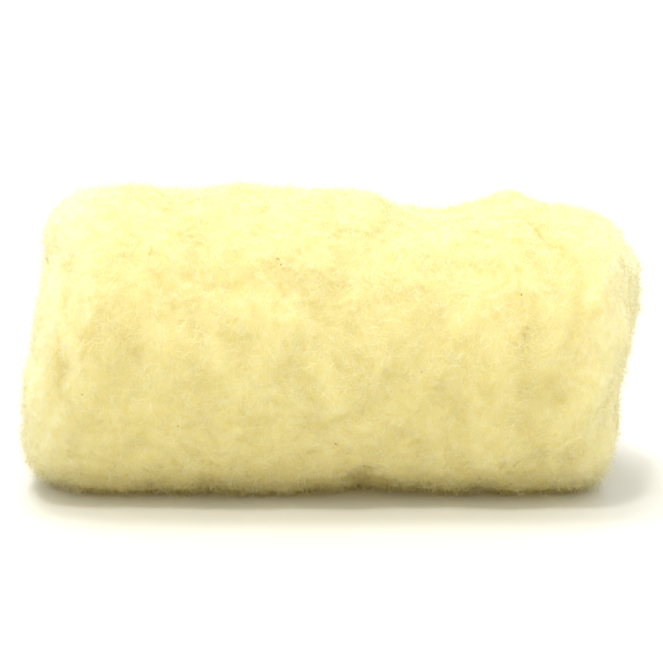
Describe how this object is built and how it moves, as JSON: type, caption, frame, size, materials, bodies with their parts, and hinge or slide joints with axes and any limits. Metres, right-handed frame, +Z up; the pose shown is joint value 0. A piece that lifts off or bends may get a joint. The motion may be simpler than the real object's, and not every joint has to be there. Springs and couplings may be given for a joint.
{
  "type": "rolled carded wool batt",
  "caption": "Thick soft sheet of carded fleece wound into a bolster-shaped roll, resting on its side on a small flat spot, with the turns showing as a spiral on both ends.",
  "frame": {"origin": "on the surface that the roll lies on, under the middle of its box", "axes": "+X along the roll's length, +Y from the front to the back, +Z up"},
  "size_m": [0.2752, 0.1496, 0.1325],
  "materials": {
    "wool": "carded wool, loose and matt, pale yellow"
  },
  "bodies": {
    "root": {"rolled_batt": "wool"}
  },
  "joints": []
}
